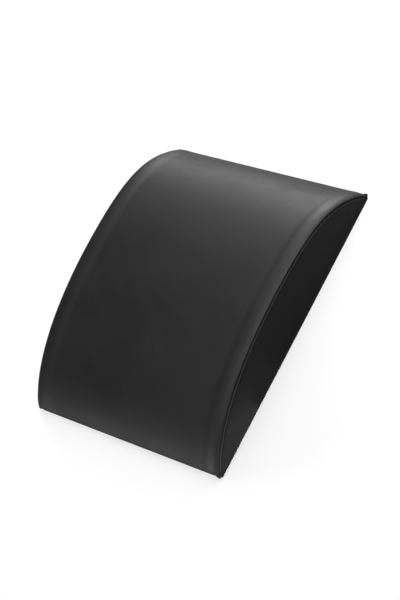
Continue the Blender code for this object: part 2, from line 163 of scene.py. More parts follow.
def arc(centre, radius, start, stop, steps):
    found = []
    for i in range(steps + 1):
        angle = math.radians(start + (stop - start) * i / steps)
        found.append(Vector(centre) + radius * Vector((math.cos(angle), math.sin(angle))))
    return found


def crown_side(side):
    """Points from one end rounding up to the peak."""
    end = ENDS[side]
    slope = math.radians(end["slope"])
    out = Vector((side * math.sin(slope), math.cos(slope)))
    climb = Vector((-side * math.cos(slope), math.sin(slope)))
    foot = Vector(end["centre"]) * MM + ROUNDING * out
    handle = foot + end["end_pull"] * MM * climb
    peak_handle = PEAK + Vector((side * end["peak_pull"] * MM, 0))
    points = interpolate_bezier(foot, handle, peak_handle, PEAK, CROWN_POINTS)
    return [Vector(p[:2]) for p in points]


def whole_outline():
    """From the near end's face, over the crown, to the far end's face."""
    near, far = (Vector(ENDS[s]["centre"]) * MM for s in (-1, 1))
    start = arc(near, ROUNDING, 180, 90 + ENDS[-1]["slope"], ROUNDING_STEPS)
    finish = arc(far, ROUNDING, 90 - ENDS[1]["slope"], 0, ROUNDING_STEPS)
    return start[:-1] + crown_side(-1) + crown_side(1)[::-1][1:] + finish[1:]


def normal_at(points, i):
    along = points[min(i + 1, len(points) - 1)] - points[max(i - 1, 0)]
    along.normalize()
    return Vector((-along.y, along.x))


def sunk(points, depth):
    return [p - depth * normal_at(points, i) for i, p in enumerate(points)]


OUTLINE = whole_outline()
CROWN_LINE = OUTLINE[ROUNDING_STEPS:-ROUNDING_STEPS]
print("outline", len(OUTLINE), "points, top at", round(max(p.y for p in OUTLINE) * 1000, 2), "mm")

# %% [markdown]
# ## Drawing a section along a line
#
# A sewn edge keeps one section all the way along its seam. So the section is drawn once, as a curve,
# and swept along another curve. Blender picks how the section is turned at the start, and the
# helper tries the four quarter turns and keeps the one that lies as drawn.


# %% Sweep
def drawn_line(name, points, closed=False):
    clear_selection()
    bpy.ops.curve.primitive_bezier_curve_add(location=(0, 0, 0))
    line = bpy.context.object
    line.name = name
    line.data.splines.clear()
    spline = line.data.splines.new("POLY")
    spline.points.add(len(points) - 1)
    for place, point in zip(spline.points, points):
        place.co = (*point, 1)
    spline.use_cyclic_u = closed
    line.data.dimensions = "3D"
    line.data.twist_mode = "MINIMUM"
    return line


def as_mesh(line, name):
    focus(line)
    bpy.ops.object.convert(target="MESH")
    made = bpy.context.object
    made.name = made.data.name = name
    return made


def sweep(name, path, section, closed=False, caps=False):
    """Sweeps a section of (across, outward) along a path of (y, z), from the near end to the far."""
    first = Vector((0, *path[0]))
    outward_there = Vector((0, *normal_at(path, 0)))
    ring = [first + x * Vector((1, 0, 0)) + out * outward_there for x, out in section]
    for quarter in (0, 2, 1, 3):
        rail = drawn_line(name, [(0, *p) for p in path])
        shape = drawn_line(f"{name}_section", [(x, out, 0) for x, out in section], closed)
        shape.data.dimensions = "2D"
        for point in rail.data.splines[0].points:
            point.tilt = quarter * math.pi / 2
        rail.data.bevel_mode = "OBJECT"
        rail.data.bevel_object = shape
        rail.data.use_fill_caps = caps
        swept = as_mesh(rail, name)
        bpy.data.objects.remove(shape)
        off = max((v.co - p).length for v, p in zip(swept.data.vertices, ring))
        if off < 0.2 * MM:
            return swept
        bpy.data.objects.remove(swept)
    raise ValueError(f"{name}: no quarter turn lays the section as drawn")


# %% [markdown]
# ## Puffing a panel between its seams
#
# Foam presses the vinyl outwards, and the seams hold it back. A short cloth simulation does that: the
# seams are pinned, air pushes the rest, and each point may move only a little. The cloth modifier is
# applied at the end, so the panel is a plain mesh again.


# %% Cloth
def puff(piece, held, pressure, cap, slack=0.0, frames=20):
    """Inflates a panel. held gives each point's pin weight from its place before the puff."""
    group = piece.vertex_groups.new(name="held")
    for vertex in piece.data.vertices:
        group.add([vertex.index], held(vertex), "REPLACE")
    before = [v.co.copy() for v in piece.data.vertices]
    cloth = piece.modifiers.new("cloth", "CLOTH")
    cloth.settings.quality = 8
    cloth.settings.mass = 0.3
    cloth.settings.tension_stiffness = 30
    cloth.settings.compression_stiffness = 30
    cloth.settings.shear_stiffness = 10
    cloth.settings.bending_stiffness = 2
    cloth.settings.vertex_group_mass = "held"
    cloth.settings.shrink_min = -slack
    cloth.settings.use_pressure = True
    cloth.settings.uniform_pressure_force = pressure
    cloth.settings.effector_weights.gravity = 0
    cloth.point_cache.frame_end = frames
    for number in range(1, frames + 1):
        bpy.context.scene.frame_set(number)
    focus(piece)
    bpy.ops.object.modifier_apply(modifier="cloth")
    bpy.context.scene.frame_set(1)
    farthest = 0
    for vertex, start in zip(piece.data.vertices, before):
        moved = vertex.co - start
        farthest = max(farthest, moved.length)
        if moved.length > cap:
            vertex.co = start + moved * cap / moved.length
    piece.vertex_groups.clear()
    print(f"{piece.name}: farthest move {farthest / MM:.2f} mm, cap {cap / MM:.1f} mm")


def ramp(value, low, high):
    part = min(max((value - low) / (high - low), 0), 1)
    return part * part * (3 - 2 * part)


# %% [markdown]
# ## Top panel
#
# The long panel runs over the crown. Along each curved edge it folds under itself, so the edge is
# two layers thick and reads as a soft raised band 16 mm wide. The section is drawn from the hidden
# free edge, round the fold, over the band and across the mat. The band rises over the turned-in
# allowance, then leans gently out and rolls over into the seam.

# %% Top panel section
SHEET = 1.15 * MM
COLUMNS = 24
# The rest of the section is in mm. Depths are taken down from the outline.
PANEL_DEPTH, CREST_DEPTH = 0.75, -0.25
FOOT_X, CREST_X = 124.0, 136.5
LEAN = math.radians(24)
RISE_STEPS, LEAN_STEPS = 8, 10
ROLLS = {-1: 152.0, 1: 149.7}
FOLD = 1.0
FOLD_TURNS = (40, 57, 74, 91, 115, 145)
TURNED_UNDER = (148.5, 144.0, 137.0)


def band_section(roll_x):
    """The raised band from its foot to the fold, as (x, depth) in mm. The roll starts at roll_x."""
    points = []
    for step in range(1, RISE_STEPS + 1):
        share = step / RISE_STEPS
        points.append((FOOT_X + (CREST_X - FOOT_X) * share,
                       PANEL_DEPTH + (CREST_DEPTH - PANEL_DEPTH) * ramp(share, 0, 1)))
    depth = CREST_DEPTH
    stride = (roll_x - CREST_X) / LEAN_STEPS
    for step in range(1, LEAN_STEPS + 1):
        depth += math.tan(LEAN * ((step - 0.5) / LEAN_STEPS) ** 2) * stride
        points.append((CREST_X + stride * step, depth))
    centre_x, centre_depth = roll_x - FOLD * math.sin(LEAN), depth + FOLD * math.cos(LEAN)
    for turn in FOLD_TURNS:
        angle = math.radians(turn)
        points.append((centre_x + FOLD * math.sin(angle), centre_depth - FOLD * math.cos(angle)))
    return points


def top_half_section(side):
    """Half the section, from the middle out and round under the band."""
    points = [(FOOT_X * i / COLUMNS, PANEL_DEPTH) for i in range(COLUMNS + 1)]
    points += band_section(ROLLS[side])
    depths = (points[-1][1] + 0.05, 2.5, 2.4)
    return points + list(zip(TURNED_UNDER, depths))


section = [(-x * MM, -d * MM) for x, d in top_half_section(-1)[::-1]]
section += [(x * MM, -d * MM) for x, d in top_half_section(1)[1:]]
print("section points", len(section), "from", round(min(x for x, _ in section) / MM, 1),
      "to", round(max(x for x, _ in section) / MM, 1), "mm")

# %% [markdown]
# At both ends the panel turns down, then folds in under the foam as a hem, above the edge of the
# base. The path carries on round that fold, and the bands are taken off the hem, because a maker cuts
# them back there.

# %% Top panel
FOLD_CENTRE = Vector((178.4, 3.0)) * MM
FOLD_RADIUS = 2.6 * MM
HEM = [(177.8, 0.55), (177.4, 1.1), (177.1, 1.8), (176.5, 2.4), (175.9, 2.6), (169.8, 2.6)]
HEM_CUT_X = 134
# The hem is spare where it lies nearer the middle than the first number and lower than the second.
SPARE_HEM = ((190, 1.1), (178, 2.75), (175, 6.2))


def with_hems(points):
    near = [Vector((-y, z)) * MM for y, z in HEM[::-1]]
    near += arc((-FOLD_CENTRE.x, FOLD_CENTRE.y), FOLD_RADIUS, 270, 180, 4)
    far = arc(FOLD_CENTRE, FOLD_RADIUS, 0, -90, 4)
    far += [Vector((y, z)) * MM for y, z in HEM]
    return near + points + far


top_path = with_hems(OUTLINE)
top_panel = sweep("top_cover", top_path, section)
outward(top_panel)


def spare_hem(face):
    """The hem under the bands, which is cut away."""
    out, along, up = (abs(value) / MM for value in face.calc_center_median())
    low = any(along < near and up < level for near, level in SPARE_HEM)
    return out > HEM_CUT_X and low


gone = edit_where(top_panel, spare_hem, "FACE")
bpy.ops.mesh.delete(type="FACE")
done()
print("top panel", len(top_panel.data.vertices), "points; hem corners cut", gone)

# %% Top panel puff
HELD_ACROSS = (118 * MM, 132 * MM)
HELD_ALONG = (156 * MM, 174 * MM)


def top_hold(vertex):
    """Held at the bands and at both ends, free in between."""
    return max(ramp(abs(vertex.co.x), *HELD_ACROSS), ramp(abs(vertex.co.y), *HELD_ALONG))


puff(top_panel, top_hold, pressure=2.0, cap=0.5 * MM)

# %% [markdown]
# At the foot of both ends the bands are stitched down flat, so they lose their height there.

# %% Bands flattened at the ends
FLAT_FROM_Y = 168 * MM
FLAT_BELOW, FULL_ABOVE = 3 * MM, 13 * MM
BAND_RISE = (PANEL_DEPTH - CREST_DEPTH) * MM
for vertex in top_panel.data.vertices:
    band = ramp(abs(vertex.co.x), FOOT_X * MM, CREST_X * MM)
    flat = band * (1 - ramp(vertex.co.z, FLAT_BELOW, FULL_ABOVE))
    if abs(vertex.co.y) > FLAT_FROM_Y:
        vertex.co.y -= math.copysign(BAND_RISE * flat, vertex.co.y)
print("top panel is", round(top_panel.dimensions.y / MM, 2), "mm long")

# %% [markdown]
# ## Side panels
#
# Each side is a crescent of the same vinyl. Its upper edge is folded in under the band, and the fold
# shows as a thin lip below the seam. Its lower edge folds in over the base. The flat part is swept
# along the crown as a strip of rows, and each row is then laid between the crown and the straight
# foot. Extruding the crown's line down would do too, but Blender then numbers the points in another
# order each time, and the puff comes out a little different.

# %% Side panel
LIP_DEPTH = 7.55 * MM
LIP = 4.0 * MM
LIP_X = 147.9 * MM
WALL_X = LIP_X + LIP
BASE_FOLD = 1.2 * MM
BASE_LEVEL = 1.6 * MM
FOOT_OUT = 0.8 * MM
SIDE_END = 178.8 * MM
CORNER_Y = 172 * MM
ROWS, ROW_STEP = 12, 0.1 * MM


# The lip's line leaves out the rounded ends and runs level into the corners instead. It is never
# lower than the fold over the base.
corner_level = BASE_LEVEL + 0.2 * MM
side_line = [Vector((p.x, max(p.y, corner_level))) for p in sunk(CROWN_LINE, LIP_DEPTH)]
side_line = [Vector((-SIDE_END, corner_level)), *side_line, Vector((SIDE_END, corner_level))]


def side_wall(name):
    """The flat part. Its cut rows let it bulge."""
    count = ROWS + 2
    wall = sweep(name, side_line, [(WALL_X, -ROW_STEP * row) for row in range(count)])
    for i, vertex in enumerate(wall.data.vertices):
        top, share = side_line[i // count], i % count / (count - 1)
        vertex.co = (WALL_X + FOOT_OUT * share, top.x, top.y + (BASE_LEVEL - top.y) * share)
    return wall


def join(pieces, name):
    clear_selection()
    for piece in pieces:
        piece.select_set(True)
    bpy.context.view_layer.objects.active = pieces[0]
    bpy.ops.object.join()
    pieces[0].name = pieces[0].data.name = name
    return pieces[0]


wall = side_wall("right_wall")
print("side wall", len(wall.data.vertices), "points")

# %% Side folds
lip_turns = range(0, 91, 10)
lip = [(LIP_X + LIP * math.cos(math.radians(a)), LIP * math.sin(math.radians(a)))
       for a in lip_turns]
lip += [(144.0 * MM, LIP), (137.0 * MM, LIP)]
upper_fold = sweep("right_lip", side_line, lip)

feet = [Vector((p.x, BASE_LEVEL)) for p in side_line]
feet = [p for i, p in enumerate(feet) if i == 0 or p.x > feet[i - 1].x + 0.001 * MM]
turned = [(WALL_X + FOOT_OUT - BASE_FOLD + BASE_FOLD * math.cos(math.radians(a)),
           -BASE_FOLD * math.sin(math.radians(a))) for a in (0, 22, 45, 67, 90)]
turned += [(x * MM, z * MM - BASE_LEVEL)
           for x, z in ((150.8, 0.5), (150.2, 0.95), (149.9, 1.7), (149.2, 2.4), (148.6, 2.6),
                        (142.5, 2.6))]
lower_fold = sweep("right_foot", feet, turned)
right_side = join([wall, upper_fold, lower_fold], "right_side_cover")
outward(right_side)
print("side panel", len(right_side.data.vertices), "points")

# %% Side puff


def side_hold(vertex):
    top = vertex.co.x < WALL_X - 0.05 * MM
    bottom = vertex.co.z < BASE_LEVEL + 0.5 * MM
    corner = abs(vertex.co.y) > CORNER_Y
    return 1.0 if top or bottom or corner else 0.0


puff(right_side, side_hold, pressure=2.0, cap=0.9 * MM, slack=0.001)

# %% [markdown]
# The left panel is the right one in a mirror. A mirrored mesh is inside out, so its faces are turned
# round again before it gets its thickness.

# %% Left side panel


def twin_of(piece, name, scale):
    """A copy of a piece, mirrored or scaled about the middle of the base."""
    focus(piece)
    bpy.ops.object.duplicate()
    twin = bpy.context.object
    twin.name = twin.data.name = name
    twin.scale = scale
    bpy.ops.object.transform_apply(location=True, rotation=True, scale=True)
    outward(twin)
    return twin


left_side = twin_of(right_side, "left_side_cover", (-1, 1, 1))
print("left panel spans", round(left_side.dimensions.y / MM, 1), "mm")

# %% [markdown]
# ## Base panels
#
# The base is two pieces, a large one and a narrow strip, with the zip between them. Every edge is
# folded to double and pressed round. The seams that join them to the cover lie a little way in from
# its sides, so the base is smaller than the mat by the roll of those seams. Each piece starts as a
# flat plate with the notch for the zip, and its rim is bevelled as wide as the fold.

# %% Base plates
FOLDED, RIM = 2.4 * MM, 1.1 * MM
SIDE_INSET, END_INSET = 3.3 * MM, 4.2 * MM
ZIP_Y = 130 * MM
SLIT = (-134.5 * MM, 125.5 * MM)
SLIT_HALF = 4.5 * MM
MEET = -0.6 * MM


def base_plate(name, outer_y, side):
    """side is 1 for the piece that lies nearer than the zip and -1 for the strip beyond it."""
    slit_y, meet_y = ZIP_Y - side * SLIT_HALF, ZIP_Y - side * MEET
    middle = (outer_y + meet_y) / 2
    clear_selection()
    bpy.ops.mesh.primitive_plane_add(size=1, location=(0, middle, 0))
    plate = bpy.context.object
    plate.name = plate.data.name = name
    plate.scale = (WIDTH - 2 * SIDE_INSET, abs(meet_y - outer_y), 1)
    bpy.ops.object.transform_apply(location=True, rotation=True, scale=True)
    cuts = [((x, 0, 0), (1, 0, 0)) for x in SLIT]
    cuts.append(((0, slit_y, 0), (0, 1, 0)))
    for place, facing in cuts:
        edit_where(plate, lambda v: True)
        bpy.ops.mesh.bisect(plane_co=place, plane_no=facing)
        done()

    def in_slit(face):
        centre = face.calc_center_median()
        return SLIT[0] < centre.x < SLIT[1] and abs(centre.y - ZIP_Y) < SLIT_HALF

    edit_where(plate, in_slit, "FACE")
    bpy.ops.mesh.delete(type="FACE")
    done()
    return plate


near_base = base_plate("base_cover", END_INSET - LENGTH / 2, 1)
far_base = base_plate("base_end_cover", LENGTH / 2 - END_INSET, -1)
print("base plates", len(near_base.data.polygons), len(far_base.data.polygons), "faces")

# %% Base folds


def folded_plate(plate):
    """Gives a plate its doubled thickness and presses its rim round."""
    edit_where(plate, lambda v: True)
    bpy.ops.mesh.dissolve_limited(angle_limit=math.radians(1))
    bpy.ops.mesh.select_all(action="SELECT")
    bpy.ops.mesh.extrude_region_move(TRANSFORM_OT_translate={"value": (0, 0, FOLDED)})
    done()
    outward(plate)
    edit_where(plate, lambda e: abs(e.verts[0].co.z - e.verts[1].co.z) < 0.01 * MM, "EDGE")
    bpy.ops.mesh.bevel(offset=RIM, segments=5, profile=0.5, affect="EDGES")
    done()


for plate in (near_base, far_base):
    folded_plate(plate)
    print(plate.name, [round(d / MM, 1) for d in plate.dimensions])

# %% [markdown]
# ## Thickness and corners
#
# The panels are surfaces so far. Solidify gives them the thickness of the vinyl, inwards, so that the
# measured outside stays where it is. Then one level of subdivision rounds what the puff left coarse.

# %% Thickness


def rounded(piece):
    """Rounds a piece by one level of subdivision, after the modifiers that it has."""
    rounder = piece.modifiers.new("round", "SUBSURF")
    rounder.levels = rounder.render_levels = 1
    apply_all(piece)
    smooth(piece, 60)


for piece in (top_panel, right_side, left_side):
    thickness = piece.modifiers.new("vinyl", "SOLIDIFY")
    thickness.thickness = SHEET
    thickness.offset = -1
    thickness.use_even_offset = False
    rounded(piece)
    print(piece.name, triangles(piece), "triangles")
for plate in (near_base, far_base):
    smooth(plate, 50)

# %% [markdown]
# Where the band, the side and the base meet, the maker tucks the spare corner in, and it stays as a
# small hard roll. It is a short round bar, pinched along its top and narrowed towards the middle of
# the mat. One is made, and the other three are its mirror images, the left two a little smaller.

# %% Corner tucks
TUCK = 2.9 * MM
TUCK_BEVEL = 2.4 * MM
TUCK_ENDS = (144.2 * MM, 152.4 * MM)
TUCK_Y, TUCK_Z = 178.4 * MM, 4.1 * MM
TUCK_NARROWED, TUCK_PINCHED = 2.5 * MM, 0.45 * MM


def corner_tuck(name):
    middle = (sum(TUCK_ENDS) / 2, TUCK_Y, TUCK_Z)
    clear_selection()
    bpy.ops.mesh.primitive_cylinder_add(vertices=20, radius=TUCK, location=middle,
                                        depth=TUCK_ENDS[1] - TUCK_ENDS[0],
                                        rotation=(0, math.pi / 2, 0))
    tuck = bpy.context.object
    tuck.name = tuck.data.name = name
    bpy.ops.object.transform_apply(location=True, rotation=True, scale=True)
    edit_where(tuck, lambda e: abs(e.verts[0].co.x - e.verts[1].co.x) < 0.01 * MM, "EDGE")
    bpy.ops.mesh.bevel(offset=TUCK_BEVEL, segments=6, profile=0.5, affect="EDGES")
    done()
    edit_where(tuck, lambda v: True)
    bpy.ops.transform.resize(value=(1, 1.2, 1), center_override=(0, TUCK_Y, TUCK_Z))
    done()
    edit_where(tuck, lambda v: v.co.x < TUCK_ENDS[0] + TUCK_NARROWED)
    bpy.ops.transform.resize(value=(1, 0.7, 0.7), center_override=(TUCK_ENDS[0], TUCK_Y, TUCK_Z))
    done()
    edit_where(tuck, lambda v: v.co.z > TUCK_Z + 0.93 * TUCK)
    bpy.ops.transform.translate(value=(0, 0, -TUCK_PINCHED))
    done()
    rounded(tuck)
    return tuck


first_tuck = corner_tuck("far_right_tuck")
twins = [twin_of(first_tuck, name, scale) for name, scale in (
    ("far_left_tuck", (-0.997, 0.993, 0.97)), ("near_right_tuck", (1, -1, 1)),
    ("near_left_tuck", (-0.997, -0.993, 0.97)))]
join([top_panel, first_tuck, *twins], "top_cover")
print("top cover with its tucks", triangles(top_panel), "triangles")

# %% [markdown]
# ## Threads
#
# A seam shows its thread only as small dents in a crease. One thread runs along each seam and dips
# under the vinyl at every hole, so the line of it rises and falls once for each stitch.

# %% Threads
THREAD = 0.4 * MM
STITCH, STITCH_STEPS = 3.6 * MM, 6
TOP_SEAM_DEPTH, TOP_SEAM_INSET = 3.6 * MM, 0.9 * MM
BASE_SEAM_X, BASE_SEAM_Z, BASE_SEAM_END = 149.7 * MM, 0.8 * MM, 176 * MM
END_SEAM_Y, END_SEAM_END = 177.15 * MM, 140 * MM
HEM_SEAM_OUT, HEM_SEAM_Z = 7.5 * MM, 0.1 * MM
TACKS = {"closed_end_tack": -135.8 * MM, "open_end_tack": 126.8 * MM}
TACK_HALF = 4.5 * MM


def resampled(points, step):
    """The same line, with points one step apart."""
    found = [Vector(points[0])]
    spare = 0.0
    for a, b in zip(points, points[1:]):
        a, b = Vector(a), Vector(b)
        run = (b - a).length
        place = step - spare
        while place <= run:
            found.append(a.lerp(b, place / run))
            place += step
        spare = run - (place - step)
    return found


def stitched_line(name, points, sink=(0, 0, 1), dip=0.35 * MM):
    """A thread along points. sink is the direction in which it dips at a hole."""
    places = []
    for i, point in enumerate(resampled(points, STITCH / STITCH_STEPS)):
        depth = dip * (1 - math.sin(math.pi * (i % STITCH_STEPS) / STITCH_STEPS)) ** 2
        places.append(point + depth * Vector(sink))
    line = drawn_line(name, places)
    line.data.bevel_depth = THREAD / 2
    line.data.bevel_resolution = 1
    line.data.use_fill_caps = True
    thread = as_mesh(line, name)
    outward(thread)
    smooth(thread, 60)
    return thread


seam_line = sunk(CROWN_LINE, TOP_SEAM_DEPTH)
threads = {}
for side, label in ((1, "right"), (-1, "left")):
    x = side * (ROLLS[side] * MM - TOP_SEAM_INSET)
    threads[f"{label}_top_seam_thread"] = stitched_line(
        f"{label}_top_stitches", [(x, *p) for p in seam_line], (-side, 0, 0))
    x = side * BASE_SEAM_X
    threads[f"{label}_base_seam_thread"] = stitched_line(
        f"{label}_base_stitches", [(x, y, BASE_SEAM_Z) for y in (-BASE_SEAM_END, BASE_SEAM_END)])
for side, label in ((1, "far"), (-1, "near")):
    y = side * END_SEAM_Y
    threads[f"{label}_end_seam_thread"] = stitched_line(
        f"{label}_end_stitches", [(x, y, BASE_SEAM_Z) for x in (-END_SEAM_END, END_SEAM_END)])
    y = ZIP_Y + side * HEM_SEAM_OUT
    threads[f"{label}_hem_stitching"] = stitched_line(
        f"{label}_hem_stitches", [(x, y, HEM_SEAM_Z) for x in SLIT])
for label, x in TACKS.items():
    places = [(x, ZIP_Y + y, HEM_SEAM_Z) for y in (-TACK_HALF, TACK_HALF)]
    threads[label] = stitched_line(f"{label}_stitches", places, dip=0.2 * MM)
for node, thread in threads.items():
    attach(thread, "mat")
    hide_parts(node)
    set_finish(thread, "thread")
print("threads", {n: triangles(t) for n, t in threads.items()})

# %% [markdown]
# ## Foam and zip
#
# The foam fills the cover. It takes the measured wedge, with its corners softened as cut foam has
# them. The zip's small parts also keep their measured shapes, with every edge rounded.

# %% Softened copies


def softened_copy(node, name, width, segments=2):
    """A copy of a measured node, merged to clean faces, with rounded edges."""
    piece = bpy.data.objects.new(name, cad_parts[node].data.copy())
    piece.data.name = name
    bpy.context.scene.collection.objects.link(piece)
    piece.data.materials.clear()
    edit_where(piece, lambda v: True)
    bpy.ops.mesh.remove_doubles(threshold=0.002 * MM)
    bpy.ops.mesh.dissolve_limited(angle_limit=math.radians(2))
    done()
    edges = piece.modifiers.new("edges", "BEVEL")
    edges.width = width
    edges.segments = segments
    edges.limit_method = "ANGLE"
    edges.angle_limit = math.radians(30)
    edges.use_clamp_overlap = True
    apply_all(piece)
    smooth(piece, 50)
    return piece


foam = softened_copy("foam_core", "foam_wedge", 0.6 * MM)
zip_pieces = {}
for node, width in (("far_zip_tape", 0.15), ("near_zip_tape", 0.15), ("far_top_stop", 0.3),
                    ("near_top_stop", 0.3), ("bottom_stop", 0.3), ("zip_slider", 0.12),
                    ("zip_pull", 0.15)):
    zip_pieces[node] = softened_copy(node, f"{node}_made", width * MM)
print("foam", triangles(foam), {n: triangles(p) for n, p in zip_pieces.items()})

# %% [markdown]
# The chain of a coil zip is a nylon wire wound flat, one coil on each tape. It is drawn as a wound
# line and given the wire's thickness.

# %% Coils
COIL_TURN, COIL_STEPS = 1.3 * MM, 8
COIL_WIRE = 0.22 * MM
COIL_Y, COIL_Z = 1.15 * MM, 4.4 * MM
COIL_HALF_WIDTH, COIL_HALF_HEIGHT = 1.0 * MM, 0.8 * MM
CHAIN_END = 120 * MM
PARTED_FROM, PARTED_RUN, PARTED_BY = 115.0 * MM, 2.5 * MM, 1.0 * MM


def parted(x):
    """How far a coil has left the middle of the chain, past the closed slider."""
    return PARTED_BY * min(max((x - PARTED_FROM) / PARTED_RUN, 0), 1)


def coil(name, side):
    count = int(2 * CHAIN_END / COIL_TURN) * COIL_STEPS
    start = -CHAIN_END + COIL_WIRE
    places = []
    for i in range(count):
        angle = 2 * math.pi * (i % COIL_STEPS) / COIL_STEPS
        x = start - 2 * start * i / (count - 1)
        y = COIL_Y + parted(x) + (COIL_HALF_WIDTH - COIL_WIRE) * math.cos(angle)
        z = COIL_Z + (COIL_HALF_HEIGHT - COIL_WIRE) * math.sin(angle)
        places.append((x, ZIP_Y + side * y, z))
    line = drawn_line(name, places)
    line.data.bevel_depth = COIL_WIRE
    line.data.bevel_resolution = 0
    line.data.use_fill_caps = True
    made = as_mesh(line, name)
    outward(made)
    smooth(made, 60)
    return made


coils = {f"{label}_zip_coil": coil(f"{label}_coil_wound", side)
         for side, label in ((1, "far"), (-1, "near"))}
print("coils", {n: triangles(c) for n, c in coils.items()})

# %% [markdown]
# Each piece now says which body it moves with and what it is made of, and the measured solid
# that it stands for is hidden. The mat carries all but the slider and its pull.

# %% Riding
covers = ((top_panel, "top_panel"), (right_side, "right_side_panel"),
          (left_side, "left_side_panel"), (near_base, "base_panel"), (far_base, "base_end_strip"))
for piece, node in covers:
    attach(piece, "mat")
    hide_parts(node)
    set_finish(piece, "vinyl")
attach(foam, "mat")
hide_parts("foam_core")
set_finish(foam, "foam")
for node, piece in {**zip_pieces, **coils}.items():
    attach(piece, {"zip_slider": "slider", "zip_pull": "pull"}.get(node, "mat"))
    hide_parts(node)
    kind = "zip_tape" if "tape" in node else "zip_coil" if "coil" in node else "zip_metal"
    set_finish(piece, kind)
print("covers", len(covers), "zip pieces", len(zip_pieces) + len(coils))

# %% [markdown]
# Each panel was cut flat before it was sewn. A cut's size is measured along its own lines: the top's
# across its section and along its path, a side's from the line under the seam with its turned-in
# edges added. The base panels are given at their finished size.

# %% Cut sizes


def line_length(points):
    return sum((Vector(b) - Vector(a)).length for a, b in zip(points, points[1:]))


def crescent_area(points, floor_level):
    return sum((b.x - a.x) * ((a.y + b.y) / 2 - floor_level) for a, b in zip(points, points[1:]))


turned_in = line_length(lip)
folded_in = line_length(turned)
side_span = side_line[-1].x - side_line[0].x
side_rise = max(p.y for p in side_line) - BASE_LEVEL
side_area = crescent_area(side_line, BASE_LEVEL) + (turned_in + folded_in) * side_span
cuts = {top_panel: (line_length(section), line_length(top_path), None)}
for panel in (right_side, left_side):
    cuts[panel] = (side_rise + turned_in + folded_in, side_span, side_area)
for plate in (near_base, far_base):
    cuts[plate] = (plate.dimensions.x, plate.dimensions.y, None)
for panel, (across, along, area) in cuts.items():
    print(panel.name, "cut", round(across / MM), "by", round(along / MM), "mm")

# %% [markdown]
# ## Materials
#
# Every finish here is built from the same few effects: a fine pebbled grain, a slow cloudiness that
# changes the gloss, and wear on what stands proud. Each is a node group, made once.


# %% Node helpers
def new_group(name, inputs, outputs):
    tree = bpy.data.node_groups.new(name, "ShaderNodeTree")
    for label, value in inputs.items():
        kind = "NodeSocketVector" if value is None else "NodeSocketFloat"
        socket = tree.interface.new_socket(name=label, in_out="INPUT", socket_type=kind)
        if value is not None:
            socket.default_value = value
    for label in outputs:
        tree.interface.new_socket(name=label, in_out="OUTPUT", socket_type="NodeSocketFloat")
    return tree, tree.nodes.new("NodeGroupInput"), tree.nodes.new("NodeGroupOutput")


def put(tree, kind, settings=None, **values):
    made = tree.nodes.new(kind)
    for name, value in (settings or {}).items():
        setattr(made, name, value)
    for name, value in values.items():
        socket = made.inputs[int(name[1:])] if name[0] == "_" else made.inputs[name]
        if isinstance(value, bpy.types.NodeSocket):
            tree.links.new(value, socket)
        else:
            socket.default_value = value
    return made


def window(tree, value, low, high, settings=None, **values):
    """A mask that rises from 0 at low to 1 at high."""
    made = put(tree, "ShaderNodeMapRange", settings, Value=value, **values)
    made.inputs["From Min"].default_value = low
    made.inputs["From Max"].default_value = high
    return made.outputs[0]


# %% Shared effects
def make_grain():
    """Fine pebbles, as pressed into coated vinyl."""
    tree, given, result = new_group("pebbled_grain", {"Place": None, "Scale": 900.0}, ["Height"])
    cells = put(tree, "ShaderNodeTexVoronoi", {"feature": "SMOOTH_F1"},
                Vector=given.outputs["Place"], Scale=given.outputs["Scale"], Smoothness=0.6)
    half = put(tree, "ShaderNodeMath", {"operation": "MULTIPLY"},
               _0=given.outputs["Scale"], _1=0.35)
    cloud = put(tree, "ShaderNodeTexNoise", None, Vector=given.outputs["Place"],
                Scale=half.outputs[0], Detail=3.0, Roughness=0.6)
    mixed = put(tree, "ShaderNodeMix", None, Factor=0.45,
                _2=cells.outputs["Distance"], _3=cloud.outputs["Fac"])
    tree.links.new(mixed.outputs[0], result.inputs["Height"])
    return tree


def make_haze():
    """A slow cloud over the surface, where hands and dust have changed the gloss."""
    tree, given, result = new_group("haze", {"Place": None, "Scale": 14.0}, ["Haze"])
    cloud = put(tree, "ShaderNodeTexNoise", None, Vector=given.outputs["Place"],
                Scale=given.outputs["Scale"], Detail=4.0, Roughness=0.55, Distortion=0.4)
    spread = window(tree, cloud.outputs["Fac"], 0.32, 0.68)
    tree.links.new(spread, result.inputs["Haze"])
    return tree


def make_scuffs():
    """Short faint rubs, drawn out along the mat, where it has slid over a floor or a hand."""
    tree, given, result = new_group("scuffs", {"Place": None, "Cover": 0.3}, ["Scuffs"])
    drawn = put(tree, "ShaderNodeMapping", None, Vector=given.outputs["Place"])
    drawn.inputs["Scale"].default_value = (260, 40, 120)
    drawn.inputs["Rotation"].default_value = (0, 0, math.radians(12))
    lines = put(tree, "ShaderNodeTexNoise", None, Vector=drawn.outputs[0], Scale=1.0, Detail=3.0)
    where = put(tree, "ShaderNodeTexNoise", None, Vector=given.outputs["Place"], Scale=18.0,
                Detail=2.0)
    low = put(tree, "ShaderNodeMath", {"operation": "SUBTRACT"}, _0=0.72,
              _1=given.outputs["Cover"])
    thin = put(tree, "ShaderNodeMapRange", None, Value=lines.outputs["Fac"], _1=low.outputs[0],
               _2=0.78)
    patch = window(tree, where.outputs["Fac"], 0.46, 0.64)
    both = put(tree, "ShaderNodeMath", {"operation": "MULTIPLY", "use_clamp": True},
               _0=thin.outputs[0], _1=patch)
    tree.links.new(both.outputs[0], result.inputs["Scuffs"])
    return tree


BAND_STARTS, BAND_STOPS = (129 * MM, 139 * MM), (150.9 * MM, 151.6 * MM)


